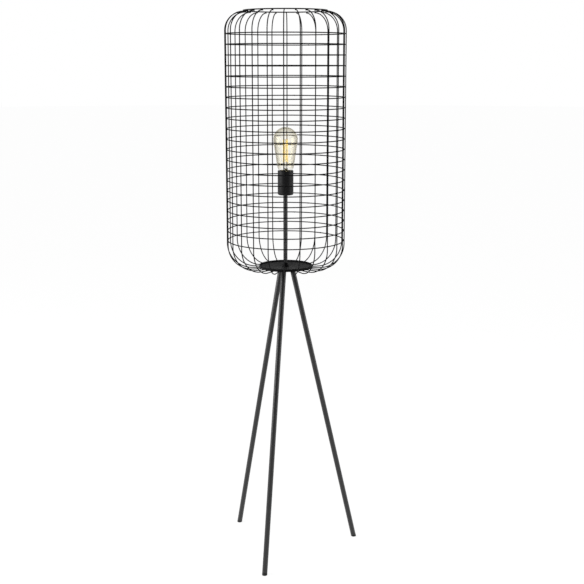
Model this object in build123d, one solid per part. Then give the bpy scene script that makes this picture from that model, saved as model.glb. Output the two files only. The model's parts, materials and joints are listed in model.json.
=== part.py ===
from build123d import *
import math
import os

# Wire cage floor lamp. Millimetres, +Z up. The pieces are worked out on the stem's own axis, with the
# floor at Z = 0, and are moved at the end so that the origin is the middle of the lamp's box on the floor.

# Cage
RING_COUNT = 21
TOP_RING_DROP = 57.4             # highest of the equal rings, under the middle of the top ring
LOW_RING_RISE = 9.2              # lowest of them, above the start of the uprights' lower bends
UPRIGHT_COUNT = 24
UPRIGHTS_PER_NODE = 4
WIRE = 2.4                       # side of the rings' and uprights' square section
CAGE_R = 157.0                   # outside of the uprights
UPPER_BEND_R = 47.0              # upright's centreline at the upper shoulder
LOWER_BEND_R = 66.0              # and at the lower one
RIM_WIRE = 3.2                   # side of the top ring's section
RIM_Z = 1462.4                   # mid-height of the top ring
WELD_OVERLAP = 9.0               # how far the uprights reach in under the base plate

# Base plate and stem
PLATE_R = 71.0
PLATE_THICK = 3.0
PLATE_TOP_Z = 800.0
PLATE_EDGE = 0.5                 # chamfer round the plate
PLATE_LIP = 4.0                  # height of the turned-up lip above the plate
PLATE_LIP_THICK = 2.0
STEM_R = 4.9
STEM_BORE_R = 3.7
STEM_TIP_R = 4.6                 # turned-down upper end, whose shoulder carries the cup
STEM_BELOW_PLATE = 9.0           # stem's end under the plate
NUT_FLATS = 14.0
NUT_THICK = 3.0
WASHER_R = 10.0
WASHER_THICK = 1.2
THREAD_GAP = 0.05                # round each threaded fit, on radius
BUSH_R = 6.8
BUSH_GRIP = 4.0                  # length of the end bush round the stem
BUSH_MOUTH = 4.0                 # length of its cord outlet
CORD_OUTLET_R = 3.3

# Legs
FRONT_LEG_DEG = 270.0
RIGHT_LEG_DEG = 30.0
LEFT_LEG_DEG = 150.0
LEG_AZIMUTHS_DEG = {"front": FRONT_LEG_DEG, "right": RIGHT_LEG_DEG, "left": LEFT_LEG_DEG}
LEG_TUBE_R = 7.0
LEG_WALL = 1.2
LEG_TOP_R = 17.0                 # leg axis where it meets the plate's underside
FOOT_CIRCLE_R = 200.0            # leg axis where it meets the floor
BOSS_R = 7.0
BOSS_LENGTH = 9.0                # along the leg
STUD_R = 4.0
STUD_TOP = 1.5                   # stud's end below the plate, along the leg
STUD_IN_LEG = 17.0
INSERT_LENGTH = 20.0
FOOT_HEIGHT = 6.0                # solid head of the end plug, along the leg
FOOT_SPIGOT = 12.0
FOOT_EDGE = 0.5                  # chamfer where the head meets the tube
TRIM_SIDE = 3 * FOOT_CIRCLE_R    # of the boxes that cut the bosses and feet level

# Lampholder, heights from the underside of the cup
CUP_Z = 991.0
CUP_R = 20.8
CUP_WALL = 1.0
CUP_HEIGHT = 64.0
CUP_CORNER_R = 4.0
CUP_LIP = 0.4
CUP_NUT_THICK = 3.0
SEAT_GAP = 0.05                  # between pieces that rest on each other
HALF_R = 18.8                    # outside of both moulded halves
LOWER_HALF_FLOOR = 5.0
LOWER_HALF_HEIGHT = 17.5
STEM_IN_HOLDER = 4.0             # stem's end inside the lower half's floor
LEDGE_R = 14.0
LEDGE_HEIGHT = 11.0              # from the lower half's underside
BLOCK_R = 16.6
SLEEVE_HEIGHT = 27.0
SHELL_R = 13.8
SHELL_BORE_R = 13.3
SHELL_HEIGHT = 25.0
SHELL_LIFT = 2.0                 # shell's lower edge above the contact block
CONTACT_R = 5.0
CONTACT_RISE = 1.0
CONTACT_RIVET_R = 1.6
SIDE_CONTACT_WIDTH = 4.0
TERMINAL_R = 1.8
TERMINAL_LENGTH = 3.5
TERMINAL_SPACING = 14.0

# Bulb, heights down from its crown
CROWN_R = 32.2
CROWN_CENTRE = 33.0
TAPER_DEG = 8.9
TAPER_END = 103.0
NECK_END = 128.0                 # where the glass goes into the cap
NECK_R = 12.8
NECK_IN_CAP = 4.0
GLASS_WALL = 0.8
CAP_R = 13.2
CAP_WALL = 0.3
CAP_HEIGHT = 23.0
INSULATOR_HEIGHT = 3.0
CAP_OPENING_R = 10.5
INSULATOR_TOP_R = 12.0
INSULATOR_LOW_R = 6.5
PIP_R = 5.0
PIP_HEIGHT = 1.0
FLARE_HEIGHT = 3.0
FLARE_TUBE_R = 5.0
FLARE_TUBE_HEIGHT = 24.0
ROD_R = 1.5
FILAMENT_TOP = 32.0
FILAMENT_LOW = 92.0
FILAMENT_R = 6.5
FILAMENT_RUNS = 10
FILAMENT_WIRE_R = 0.25
HOOK_WIRE_R = 0.3
LEAD_WIRE_R = 0.4
LEAD_SPREAD = 3.2                # of each lead-in wire from the axis, at the glass

# Worked out from the sizes above
UPRIGHT_R = CAGE_R - WIRE / 2
RING_R = CAGE_R - 1.5 * WIRE
RING_SIDES = 2 * UPRIGHT_COUNT
UPRIGHT_TOP_Z = RIM_Z - RIM_WIRE / 2 - WIRE / 2
RIM_R = UPRIGHT_R - UPPER_BEND_R - RIM_WIRE / 2
UPRIGHT_TIP_R = RIM_R - RIM_WIRE / 2
PLATE_LOW_Z = PLATE_TOP_Z - PLATE_THICK
UPRIGHT_LOW_Z = PLATE_LOW_Z - WIRE / 2
TOP_WELDED_RING_Z = RIM_Z - TOP_RING_DROP
LOW_WELDED_RING_Z = UPRIGHT_LOW_Z + LOWER_BEND_R + LOW_RING_RISE
RING_PITCH = (TOP_WELDED_RING_Z - LOW_WELDED_RING_Z) / (RING_COUNT - 1)
UPRIGHT_END_R = PLATE_R - WELD_OVERLAP
LEG_TILT = math.degrees(math.atan2(FOOT_CIRCLE_R - LEG_TOP_R, PLATE_LOW_Z))
LEG_AXIS_LENGTH = math.hypot(FOOT_CIRCLE_R - LEG_TOP_R, PLATE_LOW_Z)
LEG_BORE_R = LEG_TUBE_R - LEG_WALL
LEG_TUBE_LENGTH = LEG_AXIS_LENGTH - BOSS_LENGTH - FOOT_HEIGHT
LOWER_HALF_Z = CUP_Z + CUP_WALL + CUP_NUT_THICK + 2 * SEAT_GAP
BLOCK_LOW_Z = LOWER_HALF_Z + LEDGE_HEIGHT + SEAT_GAP
HALVES_MEET_Z = LOWER_HALF_Z + LOWER_HALF_HEIGHT
BLOCK_HEIGHT = HALVES_MEET_Z - BLOCK_LOW_Z
SLEEVE_Z = HALVES_MEET_Z + SEAT_GAP
STEM_TOP_Z = LOWER_HALF_Z + STEM_IN_HOLDER
CAP_TOTAL = CAP_HEIGHT + INSULATOR_HEIGHT + PIP_HEIGHT
BULB_LENGTH = NECK_END + CAP_TOTAL
BULB_TOP_Z = HALVES_MEET_Z + CONTACT_RISE + SEAT_GAP + BULB_LENGTH

pieces = {}


def disc(radius, height, low_z=0.0):
    return Pos(0, 0, low_z) * Cylinder(radius, height, align=(Align.CENTER, Align.CENTER, Align.MIN))


def tube(outer, inner, height, low_z=0.0):
    return disc(outer, height, low_z) - disc(inner, height, low_z)


def ring(radius, side, mid_z):
    """A closed ring of square wire, in straight lengths, with a flat behind each upright."""
    turn = 180.0 / RING_SIDES
    outline = RegularPolygon(radius + side / 2, RING_SIDES, major_radius=False, rotation=turn)
    hole = RegularPolygon(radius - side / 2, RING_SIDES, major_radius=False, rotation=turn)
    return Pos(0, 0, mid_z - side / 2) * extrude(outline - hole, side)


def upright_side(out):
    """The upright's long edges in its own plane, drawn out from its centreline: from rim to plate."""
    top = (UPRIGHT_R - UPPER_BEND_R, UPRIGHT_TOP_Z - UPPER_BEND_R)
    low = (UPRIGHT_R - LOWER_BEND_R, UPRIGHT_LOW_Z + LOWER_BEND_R)
    upper_bend = CenterArc(top, UPPER_BEND_R + out, 0, 90)
    lower_bend = CenterArc(low, LOWER_BEND_R + out, -90, 90)
    return [
        Line((UPRIGHT_TIP_R, UPRIGHT_TOP_Z + out), upper_bend @ 1),
        upper_bend,
        Line(upper_bend @ 0, lower_bend @ 1),
        lower_bend,
        Line(lower_bend @ 0, (UPRIGHT_END_R, UPRIGHT_LOW_Z - out)),
    ]


def upright():
    """One upright, bent in at both shoulders, in the plane Y = 0 on the +X side."""
    outline = [
        *upright_side(WIRE / 2),
        Line((UPRIGHT_TIP_R, UPRIGHT_TOP_Z - WIRE / 2), (UPRIGHT_TIP_R, UPRIGHT_TOP_Z + WIRE / 2)),
        *upright_side(-WIRE / 2),
        Line((UPRIGHT_END_R, UPRIGHT_LOW_Z - WIRE / 2), (UPRIGHT_END_R, UPRIGHT_LOW_Z + WIRE / 2)),
    ]
    return extrude(Plane.XZ * make_face(outline), WIRE / 2, both=True)


def cage():
    for number in range(RING_COUNT):
        pieces[f"cage_ring_{number + 1:02d}"] = ring(RING_R, WIRE, TOP_WELDED_RING_Z - number * RING_PITCH)
    pieces["cage_top_ring"] = ring(RIM_R, RIM_WIRE, RIM_Z)
    one = upright()
    step = 360.0 / UPRIGHT_COUNT
    for group in range(UPRIGHT_COUNT // UPRIGHTS_PER_NODE):
        first = group * UPRIGHTS_PER_NODE
        turns = [(first + place) * step for place in range(UPRIGHTS_PER_NODE)]
        pieces[f"cage_uprights_{group + 1}"] = [Rot(0, 0, turn) * one for turn in turns]


def nut(thread_r, thick, low_z):
    blank = Pos(0, 0, low_z) * extrude(RegularPolygon(NUT_FLATS / 2, 6, major_radius=False), thick)
    return blank - disc(thread_r + THREAD_GAP, thick, low_z)


def base_and_stem():
    plate = disc(PLATE_R, PLATE_THICK + PLATE_LIP, PLATE_LOW_Z)
    plate = chamfer(plate.edges().filter_by(GeomType.CIRCLE), PLATE_EDGE)
    plate -= disc(PLATE_R - PLATE_LIP_THICK, PLATE_LIP, PLATE_TOP_Z)
    pieces["base_plate"] = plate - disc(STEM_R + THREAD_GAP, PLATE_THICK, PLATE_LOW_Z)
    stem_low_z = PLATE_LOW_Z - STEM_BELOW_PLATE
    stem = disc(STEM_R, CUP_Z - stem_low_z, stem_low_z) + disc(STEM_TIP_R, STEM_TOP_Z - CUP_Z, CUP_Z)
    pieces["stem_tube"] = stem - disc(STEM_BORE_R, STEM_TOP_Z - stem_low_z, stem_low_z)
    pieces["stem_washer"] = tube(WASHER_R, STEM_R + THREAD_GAP, WASHER_THICK, PLATE_TOP_Z)
    pieces["stem_upper_nut"] = nut(STEM_R, NUT_THICK, PLATE_TOP_Z + WASHER_THICK)
    pieces["stem_lower_nut"] = nut(STEM_R, NUT_THICK, PLATE_LOW_Z - NUT_THICK)
    mouth_z = stem_low_z - BUSH_MOUTH
    bush = disc(BUSH_R, BUSH_GRIP + BUSH_MOUTH, mouth_z)
    bush -= disc(STEM_R + THREAD_GAP, BUSH_GRIP, stem_low_z)
    pieces["cord_bush"] = bush - disc(CORD_OUTLET_R, BUSH_MOUTH, mouth_z)


def on_leg(azimuth):
    """Where a leg's axis leaves the plate: a piece drawn down from the origin lies along the leg."""
    return Rot(0, 0, azimuth) * Pos(LEG_TOP_R, 0, PLATE_LOW_Z) * Rot(0, -LEG_TILT, 0)


def along_leg(radius, start, length):
    """A round bar on the leg's axis, from start to start + length below the plate."""
    return disc(radius, length, -(start + length))


def legs():
    below_plate = Pos(0, 0, PLATE_LOW_Z - TRIM_SIDE / 2) * Box(TRIM_SIDE, TRIM_SIDE, TRIM_SIDE)
    above_floor = Pos(0, 0, TRIM_SIDE / 2) * Box(TRIM_SIDE, TRIM_SIDE, TRIM_SIDE)
    stud_length = BOSS_LENGTH + STUD_IN_LEG - STUD_TOP
    boss = along_leg(BOSS_R, -BOSS_R, BOSS_LENGTH + BOSS_R)
    boss -= along_leg(STUD_R + THREAD_GAP, -BOSS_R, BOSS_LENGTH + BOSS_R)
    stud = along_leg(STUD_R, STUD_TOP, stud_length)
    insert = along_leg(LEG_BORE_R - THREAD_GAP, BOSS_LENGTH, INSERT_LENGTH)
    insert -= along_leg(STUD_R + THREAD_GAP, BOSS_LENGTH, INSERT_LENGTH)
    leg = along_leg(LEG_TUBE_R, BOSS_LENGTH, LEG_TUBE_LENGTH)
    leg -= along_leg(LEG_BORE_R, BOSS_LENGTH, LEG_TUBE_LENGTH)
    foot_top = BOSS_LENGTH + LEG_TUBE_LENGTH
    foot = along_leg(LEG_TUBE_R, foot_top, FOOT_HEIGHT + LEG_TUBE_R)
    foot = chamfer(foot.edges().sort_by(Axis.Z)[-1], FOOT_EDGE)
    foot += along_leg(LEG_BORE_R - THREAD_GAP, foot_top - FOOT_SPIGOT, FOOT_SPIGOT + FOOT_EDGE)
    bosses = []
    studs = []
    inserts = []
    for side, azimuth in LEG_AZIMUTHS_DEG.items():
        place = on_leg(azimuth)
        bosses.append((place * boss) & below_plate)
        pieces[f"leg_{side}"] = place * leg
        pieces[f"foot_{side}"] = (place * foot) & above_floor
        studs.append(place * stud)
        inserts.append(place * insert)
    pieces["leg_bosses"] = bosses
    pieces["leg_studs"] = studs
    pieces["leg_inserts"] = inserts


def lampholder():
    cup = disc(CUP_R, CUP_HEIGHT, CUP_Z)
    cup = fillet(cup.edges().sort_by(Axis.Z)[0], CUP_CORNER_R)
    inside = disc(CUP_R - CUP_WALL, CUP_HEIGHT - CUP_WALL, CUP_Z + CUP_WALL)
    inside = fillet(inside.edges().sort_by(Axis.Z)[0], CUP_CORNER_R - CUP_WALL)
    cup -= inside
    lip = cup.edges().filter_by(GeomType.CIRCLE).group_by(Axis.Z)[-1]
    cup = chamfer(lip, CUP_LIP)
    pieces["holder_cup"] = cup - disc(STEM_TIP_R + THREAD_GAP, CUP_WALL, CUP_Z)
    pieces["holder_nut"] = nut(STEM_TIP_R, CUP_NUT_THICK, CUP_Z + CUP_WALL + SEAT_GAP)

    lower = disc(HALF_R, LOWER_HALF_HEIGHT, LOWER_HALF_Z)
    ledge_z = LOWER_HALF_Z + LEDGE_HEIGHT
    lower -= disc(LEDGE_R, LEDGE_HEIGHT - LOWER_HALF_FLOOR, LOWER_HALF_Z + LOWER_HALF_FLOOR)
    lower -= disc(BLOCK_R + SEAT_GAP, LOWER_HALF_HEIGHT - LEDGE_HEIGHT, ledge_z)
    lower -= disc(STEM_TIP_R + THREAD_GAP, LOWER_HALF_FLOOR, LOWER_HALF_Z)
    pieces["holder_lower_half"] = lower

    block = disc(BLOCK_R, BLOCK_HEIGHT, BLOCK_LOW_Z)
    block -= disc(CONTACT_RIVET_R + SEAT_GAP, BLOCK_HEIGHT, BLOCK_LOW_Z)
    pieces["holder_contact_block"] = block
    contact = disc(CONTACT_R, CONTACT_RISE, HALVES_MEET_Z)
    contact = fillet(contact.edges().sort_by(Axis.Z)[-1], CONTACT_RISE / 2)
    pieces["holder_center_contact"] = contact + disc(CONTACT_RIVET_R, BLOCK_HEIGHT, BLOCK_LOW_Z)
    tongue = Pos(SHELL_R, 0, HALVES_MEET_Z + SHELL_LIFT / 2) * Box(SHELL_R, SIDE_CONTACT_WIDTH, SHELL_LIFT)
    pieces["holder_side_contact"] = tube(SHELL_R, SHELL_BORE_R, SHELL_LIFT, HALVES_MEET_Z) & tongue
    screw = disc(TERMINAL_R, TERMINAL_LENGTH, BLOCK_LOW_Z - TERMINAL_LENGTH)
    sides = (-TERMINAL_SPACING / 2, TERMINAL_SPACING / 2)
    pieces["holder_terminal_screws"] = [Pos(side, 0, 0) * screw for side in sides]

    pieces["holder_screw_shell"] = tube(SHELL_R, SHELL_BORE_R, SHELL_HEIGHT, HALVES_MEET_Z + SHELL_LIFT)
    pieces["holder_sleeve"] = tube(HALF_R, SHELL_R + SEAT_GAP, SLEEVE_HEIGHT, SLEEVE_Z)


def envelope(inset):
    """The bulb's glass as a full solid, its crown at Z = 0, with every wall drawn in by the inset."""
    radius = CROWN_R - inset
    taper = math.radians(TAPER_DEG)
    leave = (radius * math.cos(taper), -CROWN_CENTRE - radius * math.sin(taper))
    run = TAPER_END - CROWN_CENTRE - radius * math.sin(taper)
    turn_in = (leave[0] - run * math.tan(taper), -TAPER_END)
    neck = (NECK_R - inset, -NECK_END)
    end = (NECK_R - inset, -NECK_END - NECK_IN_CAP)
    crown = (0.0, -inset)
    shoulder = (radius * math.sin(math.radians(45)), radius * math.cos(math.radians(45)) - CROWN_CENTRE)
    outline = [
        ThreePointArc(crown, shoulder, (radius, -CROWN_CENTRE)),
        RadiusArc((radius, -CROWN_CENTRE), leave, radius),
        Line(leave, turn_in),
        Spline(turn_in, neck, tangents=[(-math.sin(taper), -math.cos(taper)), (0, -1)]),
        Line(neck, end),
        Line(end, (0, end[1])),
        Line((0, end[1]), crown),
    ]
    return revolve(Plane.XZ * make_face(outline), Axis.Z)


def bar(start, finish, radius, short_by=0.0):
    """A straight round wire from start towards finish, stopping short of it by that much."""
    line = Line(start, finish)
    return Plane(origin=start, z_dir=line % 0) * disc(radius, line.length - short_by)


def around(radius, degrees, depth):
    """A point inside the bulb, below its crown."""
    turn = math.radians(degrees)
    return Vector(radius * math.cos(turn), radius * math.sin(turn), -depth)


def filament_corner(number):
    """The filament runs up and down round the rod, between the upper and lower hooks."""
    degrees = 360.0 * (number + 0.5) / (FILAMENT_RUNS + 1)
    depth = FILAMENT_TOP if number % 2 else FILAMENT_LOW
    return degrees, depth


def bulb():
    top = Pos(0, 0, BULB_TOP_Z)
    glass = envelope(0) - envelope(GLASS_WALL)
    glass -= disc(NECK_R - GLASS_WALL, NECK_IN_CAP, -NECK_END - NECK_IN_CAP)
    pieces["bulb_glass"] = top * glass

    flare_z = -NECK_END - NECK_IN_CAP
    flare_r = NECK_R - GLASS_WALL - THREAD_GAP
    tube_top = flare_z + FLARE_TUBE_HEIGHT
    mount = disc(flare_r, FLARE_HEIGHT, flare_z) + disc(FLARE_TUBE_R, FLARE_TUBE_HEIGHT, flare_z)
    mount += disc(ROD_R, -FILAMENT_TOP - tube_top, tube_top)
    pieces["bulb_mount"] = top * mount

    corners = [filament_corner(number) for number in range(FILAMENT_RUNS + 1)]
    points = [around(FILAMENT_R, *corner) for corner in corners]
    filament = Pos(*points[0]) * Sphere(FILAMENT_WIRE_R)
    for start, finish in zip(points, points[1:]):
        filament += bar(start, finish, FILAMENT_WIRE_R) + Pos(*finish) * Sphere(FILAMENT_WIRE_R)
    pieces["bulb_filament"] = top * filament

    hook_start_r = ROD_R + SEAT_GAP
    hook_end_r = FILAMENT_R - FILAMENT_WIRE_R - SEAT_GAP
    supports = []
    for degrees, depth in corners[1:-1]:
        height = depth + (2 * HOOK_WIRE_R if depth == FILAMENT_TOP else 0)
        hook = bar(around(hook_start_r, degrees, height), around(hook_end_r, degrees, height), HOOK_WIRE_R)
        supports.append(top * hook)
    for (degrees, depth), point in ((corners[0], points[0]), (corners[-1], points[-1])):
        foot = around(LEAD_SPREAD, degrees, -tube_top - SEAT_GAP)
        supports.append(top * bar(foot, point, LEAD_WIRE_R, LEAD_WIRE_R + 2 * FILAMENT_WIRE_R))
    pieces["bulb_supports"] = supports

    cap = tube(CAP_R, CAP_R - CAP_WALL, CAP_HEIGHT, -NECK_END - CAP_HEIGHT)
    cap += tube(CAP_R, CAP_OPENING_R, CAP_WALL, -NECK_END - CAP_HEIGHT)
    pieces["bulb_cap"] = top * cap
    insulator_z = -NECK_END - CAP_HEIGHT - INSULATOR_HEIGHT
    insulator = Pos(0, 0, insulator_z + INSULATOR_HEIGHT / 2) * Cone(
        INSULATOR_LOW_R, INSULATOR_TOP_R, INSULATOR_HEIGHT)
    pieces["bulb_insulator"] = top * insulator
    pieces["bulb_contact"] = top * disc(PIP_R, PIP_HEIGHT - SEAT_GAP, insulator_z - PIP_HEIGHT)


def export():
    os.makedirs("parts", exist_ok=True)
    solids = {name: made if isinstance(made, list) else [made] for name, made in pieces.items()}
    boxes = [solid.bounding_box() for group in solids.values() for solid in group]
    middle_x = (min(box.min.X for box in boxes) + max(box.max.X for box in boxes)) / 2
    middle_y = (min(box.min.Y for box in boxes) + max(box.max.Y for box in boxes)) / 2
    for name, group in solids.items():
        moved = [Pos(-middle_x, -middle_y, 0) * solid for solid in group]
        export_step(Compound(moved) if len(moved) > 1 else moved[0], f"parts/{name}.step")
    height = max(box.max.Z for box in boxes)
    print(f"{len(solids)} nodes, lamp axis at Y = {-middle_y:.3f}, height {height:.1f}")


cage()
base_and_stem()
legs()
lampholder()
bulb()
export()
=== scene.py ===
import json
import math

import bpy
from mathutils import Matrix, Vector


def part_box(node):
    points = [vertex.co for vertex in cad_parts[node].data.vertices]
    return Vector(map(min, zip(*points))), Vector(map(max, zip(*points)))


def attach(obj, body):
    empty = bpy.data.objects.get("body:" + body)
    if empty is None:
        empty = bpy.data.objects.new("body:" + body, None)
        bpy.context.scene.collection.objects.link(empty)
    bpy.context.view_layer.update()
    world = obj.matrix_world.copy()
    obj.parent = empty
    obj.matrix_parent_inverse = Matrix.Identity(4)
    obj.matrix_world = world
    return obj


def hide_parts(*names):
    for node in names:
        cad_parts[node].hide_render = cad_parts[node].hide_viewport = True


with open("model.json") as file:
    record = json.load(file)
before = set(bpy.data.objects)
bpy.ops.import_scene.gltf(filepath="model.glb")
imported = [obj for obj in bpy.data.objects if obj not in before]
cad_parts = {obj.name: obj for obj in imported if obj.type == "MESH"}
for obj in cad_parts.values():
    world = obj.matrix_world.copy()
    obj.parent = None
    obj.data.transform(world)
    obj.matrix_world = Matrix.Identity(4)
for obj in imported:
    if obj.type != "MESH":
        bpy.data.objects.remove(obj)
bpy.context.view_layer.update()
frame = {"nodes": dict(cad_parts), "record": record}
nodes = frame["nodes"]
bpy.ops.object.select_all(action="DESELECT")

# Base plate. A round dish pressed from mild steel, with a low lip turned up round its edge. The cage, the
# stem and the leg bosses are fixed to it, and all of it is powder coated black together.
plate_low, plate_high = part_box("base_plate")
stem_axis = Vector(((plate_low.x + plate_high.x) / 2, (plate_low.y + plate_high.y) / 2, 0))
plate_radius = (plate_high.x - plate_low.x) / 2
plate_thick = 0.003
plate_floor = plate_low.z + plate_thick
plate_bore = 0.00495
lip_thick = 0.002
outer_edge = 0.0012
lip_edge = 0.0008
bore_edge = 0.0003
fine_rounding = 0.001
touching = 1e-6


def powder_coat(name, colour, roughness, shine, peel):
    """Powder coat on steel: orange peel of the given grain, and a tone that wanders over the piece."""
    coat = bpy.data.materials.new(name)
    coat.use_nodes = True
    tree = coat.node_tree
    shader = tree.nodes["Principled BSDF"]
    shader.inputs["Specular IOR Level"].default_value = shine
    place = tree.nodes.new("ShaderNodeTexCoord")
    tone = tree.nodes.new("ShaderNodeTexNoise")
    tone.inputs["Scale"].default_value = 35
    tone.inputs["Detail"].default_value = 4
    shades = tree.nodes.new("ShaderNodeValToRGB")
    shades.color_ramp.elements[0].position = 0.35
    shades.color_ramp.elements[0].color = [0.82 * value for value in colour] + [1]
    shades.color_ramp.elements[1].position = 0.7
    shades.color_ramp.elements[1].color = [1.2 * value for value in colour] + [1]
    grain = tree.nodes.new("ShaderNodeTexNoise")
    grain.inputs["Scale"].default_value = 1 / peel
    grain.inputs["Detail"].default_value = 3
    gloss = tree.nodes.new("ShaderNodeMapRange")
    gloss.inputs["To Min"].default_value = roughness - 0.07
    gloss.inputs["To Max"].default_value = roughness + 0.07
    bump = tree.nodes.new("ShaderNodeBump")
    bump.inputs["Strength"].default_value = 0.25
    bump.inputs["Distance"].default_value = 0.0001
    for noise in (tone, grain):
        tree.links.new(place.outputs["Object"], noise.inputs["Vector"])
    tree.links.new(tone.outputs["Fac"], shades.inputs["Fac"])
    tree.links.new(shades.outputs["Color"], shader.inputs["Base Color"])
    tree.links.new(grain.outputs["Fac"], gloss.inputs["Value"])
    tree.links.new(gloss.outputs["Result"], shader.inputs["Roughness"])
    tree.links.new(grain.outputs["Fac"], bump.inputs["Height"])
    tree.links.new(bump.outputs["Normal"], shader.inputs["Normal"])
    return coat


def about(height, out=0.0, across=0.0):
    """A point at a height, so far out from the stem's axis to the right, and so far back."""
    return stem_axis + Vector((out, across, height))


def pick(piece, chosen):
    """Selects the vertices whose places are chosen, with the edges and faces between them."""
    for vertex in piece.data.vertices:
        vertex.select = chosen(vertex.co)
    for shape in (piece.data.edges, piece.data.polygons):
        for element in shape:
            element.select = all(piece.data.vertices[end].select for end in element.vertices)


def turned(name, outline, steps=64):
    """A turned piece. The outline is drawn round its half section, each corner (radius, height, rounding)."""
    first = outline[0]
    bpy.ops.mesh.primitive_plane_add(size=0.001, location=about(first[1], first[0]))
    made = bpy.context.object
    made.name = name
    bpy.ops.object.mode_set(mode="EDIT")
    bpy.ops.mesh.merge(type="CENTER")
    onward = outline[1:] + outline[:1] if first[0] > 0 else outline[1:]
    for corner, last in zip(onward, outline):
        bpy.ops.mesh.extrude_vertices_move(
            TRANSFORM_OT_translate={"value": (corner[0] - last[0], 0, corner[1] - last[1])})
    bpy.ops.mesh.select_all(action="SELECT")
    bpy.ops.mesh.remove_doubles(threshold=touching)
    bpy.ops.object.mode_set(mode="OBJECT")
    for rounding in sorted({corner[2] for corner in outline if corner[2]}):
        spots = [Vector((corner[0] - first[0], 0, corner[1] - first[1])) for corner in outline
                 if corner[2] == rounding]
        pick(made, lambda place: any((place - spot).length < touching for spot in spots))
        bpy.ops.object.mode_set(mode="EDIT")
        bpy.ops.mesh.bevel(offset=rounding, segments=3 if rounding < fine_rounding else 8, affect="VERTICES")
        bpy.ops.object.mode_set(mode="OBJECT")
    bpy.ops.object.mode_set(mode="EDIT")
    bpy.ops.mesh.select_all(action="SELECT")
    bpy.ops.mesh.spin(steps=steps, angle=2 * math.pi, axis=(0, 0, 1), center=stem_axis, use_auto_merge=True)
    bpy.ops.mesh.select_all(action="SELECT")
    bpy.ops.mesh.remove_doubles(threshold=touching)
    bpy.ops.mesh.normals_make_consistent(inside=False)
    bpy.ops.object.mode_set(mode="OBJECT")
    return made


def settle(piece, name, finish, slot, body, *stands_for):
    """Ends a piece: its place goes into its mesh, and it gets its name, its finish, its body and its nodes."""
    bpy.ops.object.select_all(action="DESELECT")
    piece.select_set(True)
    bpy.context.view_layer.objects.active = piece
    bpy.ops.object.transform_apply(location=True, rotation=True, scale=True)
    bpy.ops.object.shade_smooth_by_angle(angle=math.radians(35))
    piece.select_set(False)
    piece.name = name
    piece.data.name = name
    piece.data.materials.clear()
    piece.data.materials.append(finish)
    if stands_for:
        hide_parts(*stands_for)
    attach(piece, body)


cage_coat = powder_coat("cage_powder_coat", (0.007, 0.007, 0.0075), 0.62, 0.07, 0.0011)
dish = turned("dish", [
    (plate_bore, plate_low.z, bore_edge), (plate_radius, plate_low.z, outer_edge),
    (plate_radius, plate_high.z, lip_edge), (plate_radius - lip_thick, plate_high.z, lip_edge),
    (plate_radius - lip_thick, plate_floor, outer_edge), (plate_bore, plate_floor, bore_edge)], steps=144)
settle(dish, "plate_dish", cage_coat, "black_metal", "lamp", "base_plate")

# Uprights. Lengths of round steel wire, each bent in at the top to end under the top ring, and in at the
# bottom to end under the plate. They stand at equal turns round the stem.
wire_radius = 0.0014
square_half = 0.0012
upper_bend = 0.047
lower_bend = 0.066
weld_overlap = 0.009
uprights_in_group = 4
upright_step = math.radians(15)
group_low, group_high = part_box("cage_uprights_1")
upright_radius = group_high.x - stem_axis.x - wire_radius
upright_top = group_high.z - square_half
upright_foot = group_low.z + square_half
rim_low, rim_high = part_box("cage_top_ring")
rim_wire_radius = (rim_high.z - rim_low.z) / 2
rim_radius = rim_high.x - stem_axis.x - rim_wire_radius
tip_radius = rim_radius - rim_wire_radius


def copy_of(piece):
    """A copy with a mesh of its own, left as the only selected piece."""
    bpy.ops.object.select_all(action="DESELECT")
    piece.select_set(True)
    bpy.context.view_layer.objects.active = piece
    bpy.ops.object.duplicate()
    return bpy.context.object


bpy.ops.mesh.primitive_circle_add(
    vertices=14, radius=wire_radius, fill_type="NGON",
    location=about(upright_top, tip_radius), rotation=(0, math.pi / 2, 0))
upright = bpy.context.object
bpy.ops.object.mode_set(mode="EDIT")
bpy.ops.mesh.extrude_region_move(
    TRANSFORM_OT_translate={"value": (upright_radius - upper_bend - tip_radius, 0, 0)})
bpy.ops.mesh.spin(
    steps=14, angle=math.pi / 2, axis=(0, -1, 0),
    center=about(upright_top - upper_bend, upright_radius - upper_bend))
bpy.ops.mesh.extrude_region_move(
    TRANSFORM_OT_translate={"value": (0, 0, upright_foot + lower_bend - upright_top + upper_bend)})
bpy.ops.mesh.spin(
    steps=18, angle=math.pi / 2, axis=(0, -1, 0),
    center=about(upright_foot + lower_bend, upright_radius - lower_bend))
bpy.ops.mesh.extrude_region_move(
    TRANSFORM_OT_translate={"value": (plate_radius - weld_overlap - upright_radius + lower_bend, 0, 0)})
bpy.ops.mesh.select_all(action="SELECT")
bpy.ops.mesh.normals_make_consistent(inside=False)
bpy.ops.mesh.spin(
    steps=uprights_in_group - 1, angle=-upright_step * (uprights_in_group - 1), axis=(0, 0, 1),
    center=stem_axis, dupli=True)
bpy.ops.object.mode_set(mode="OBJECT")
upright_groups = sorted(name for name in nodes if name.startswith("cage_uprights_"))
for number, node in enumerate(upright_groups):
    group = copy_of(upright)
    bpy.ops.transform.rotate(
        value=-number * uprights_in_group * upright_step, orient_axis="Z", center_override=stem_axis)
    settle(group, f"upright_wires_{number + 1}", cage_coat, "cage_wire", "lamp", node)
bpy.data.objects.remove(upright)

# Rings. Closed rings of the same wire, each butt welded where its ends meet and ground back to a small
# swelling. They lie inside the uprights, and their joints are staggered round the back of the cage.
ring_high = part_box("cage_ring_01")[1]
ring_radius = ring_high.x - stem_axis.x - wire_radius
joint_half = 0.0008
joint_swell = 0.0003
rim_joint_swell = 0.00005
first_joint = 4.5
joint_places = 4


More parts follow.
